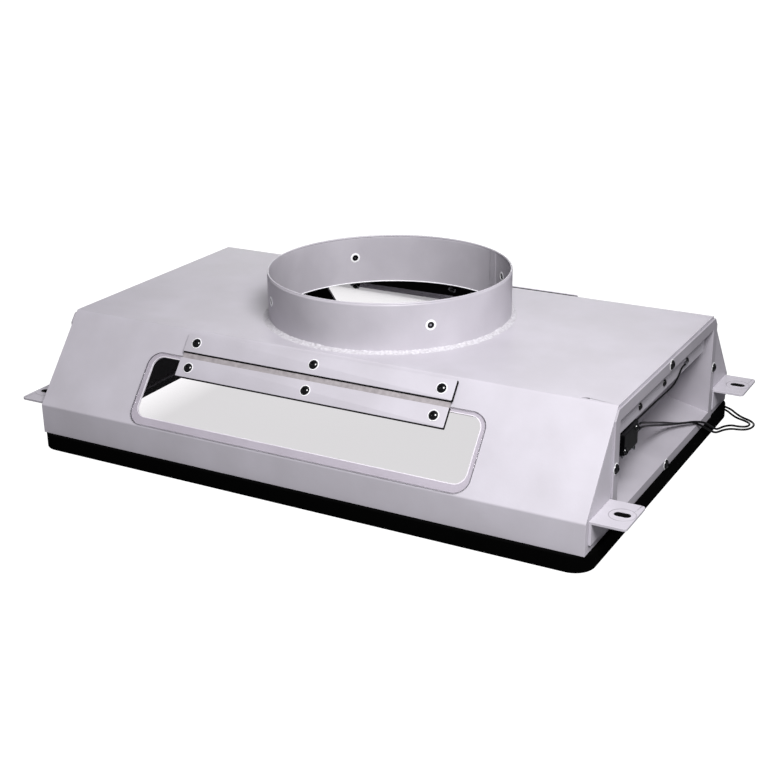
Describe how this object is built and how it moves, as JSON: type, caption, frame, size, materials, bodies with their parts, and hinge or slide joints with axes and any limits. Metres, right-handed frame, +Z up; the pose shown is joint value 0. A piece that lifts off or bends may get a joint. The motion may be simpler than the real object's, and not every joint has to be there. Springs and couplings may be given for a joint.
{
  "type": "fume extraction hood",
  "caption": "Sheet-metal fume hood on a rubber frame, with a round duct collar on top, a clear flap window on each long side, recessed end trays and a lever switch.",
  "frame": {"origin": "on the surface the rubber frame rests on, under the centre of the duct collar", "axes": "+X along the hood to the end with the switch, +Y to the back, +Z up along the duct collar"},
  "size_m": [0.5376, 0.3505, 0.1441],
  "materials": {
    "powder_coat": "satin light grey powder coat",
    "rubber": "matte black rubber",
    "sealant": "smeared grey sealant",
    "collar_steel": "satin light grey coat on rolled sheet",
    "clear_sheet": "clear polished sheet",
    "hinge_fabric": "grey flexible band",
    "dark_steel_screw": "polished dark steel",
    "nut_steel": "plated steel",
    "black_plastic": "black moulded plastic",
    "spring_steel": "plain spring steel",
    "brass_blade": "plain brass",
    "wire_skin": "dark grey wire insulation",
    "white_plastic": "off-white moulded plastic"
  },
  "bodies": {
    "hood": {"hood_cover": "powder_coat", "end_plate_right": "powder_coat", "end_plate_left": "powder_coat", "duct_collar": "collar_steel", "collar_bead": "sealant", "rubber_frame": "rubber", "front_hinge_packer": "rubber", "back_hinge_packer": "rubber", "front_hinge_band": "hinge_fabric", "back_hinge_band": "hinge_fabric", "front_hinge_bar": "powder_coat", "back_hinge_bar": "powder_coat", "front_hinge_screws": "dark_steel_screw", "back_hinge_screws": "dark_steel_screw", "front_hinge_nuts": "nut_steel", "back_hinge_nuts": "nut_steel", "tab_front_right": "powder_coat", "tab_front_left": "powder_coat", "tab_back_right": "powder_coat", "tab_back_left": "powder_coat", "end_tray_right": "powder_coat", "end_tray_left": "powder_coat", "tray_screws_right": "dark_steel_screw", "tray_screws_left": "dark_steel_screw", "tray_nuts_right": "nut_steel", "tray_nuts_left": "nut_steel", "wiring_rail": "powder_coat", "rail_screws": "dark_steel_screw", "rail_nuts": "nut_steel", "switch_bracket": "powder_coat", "switch_body": "black_plastic", "switch_screws": "dark_steel_screw", "switch_nuts": "nut_steel", "lever_yoke": "spring_steel", "switch_blades": "brass_blade", "blade_sleeves": "black_plastic", "rail_wire": "wire_skin", "wire_eyelet": "brass_blade", "lead_wire_a": "wire_skin", "lead_wire_b": "wire_skin", "lead_plug": "white_plastic"},
    "front_flap": {"front_window_pane": "clear_sheet", "front_flap_band": "hinge_fabric", "front_flap_bar": "powder_coat", "front_flap_screws": "dark_steel_screw", "front_flap_nuts": "nut_steel"},
    "back_flap": {"back_window_pane": "clear_sheet", "back_flap_band": "hinge_fabric", "back_flap_bar": "powder_coat", "back_flap_screws": "dark_steel_screw", "back_flap_nuts": "nut_steel"},
    "lever": {"switch_lever": "spring_steel"},
    "plunger": {"switch_plunger": "black_plastic"}
  },
  "joints": [
    {"name": "front_flap_hinge", "type": "hinge", "parent": "hood", "child": "front_flap", "pos_m": [0, -0.12554, 0.08857], "axis": [-1, 0, 0], "range_deg": [0, 100]},
    {"name": "back_flap_hinge", "type": "hinge", "parent": "hood", "child": "back_flap", "pos_m": [0, 0.12554, 0.08857], "axis": [1, 0, 0], "range_deg": [0, 100]},
    {"name": "switch_lever_hinge", "type": "hinge", "parent": "hood", "child": "lever", "pos_m": [0.23455, -0.0919, 0.0591], "axis": [1, 0, 0], "range_deg": [0, 5], "stiffness_Nm_per_rad": 0.02, "springref_deg": -28.65},
    {"name": "switch_plunger_slide", "type": "slide", "parent": "hood", "child": "plunger", "axis": [0, 0, 1], "range_m": [0, 0.001]}
  ],
  "couplings": [
    {"joint": "switch_plunger_slide", "follows": "switch_lever_hinge", "m_per_rad": 0.009}
  ]
}
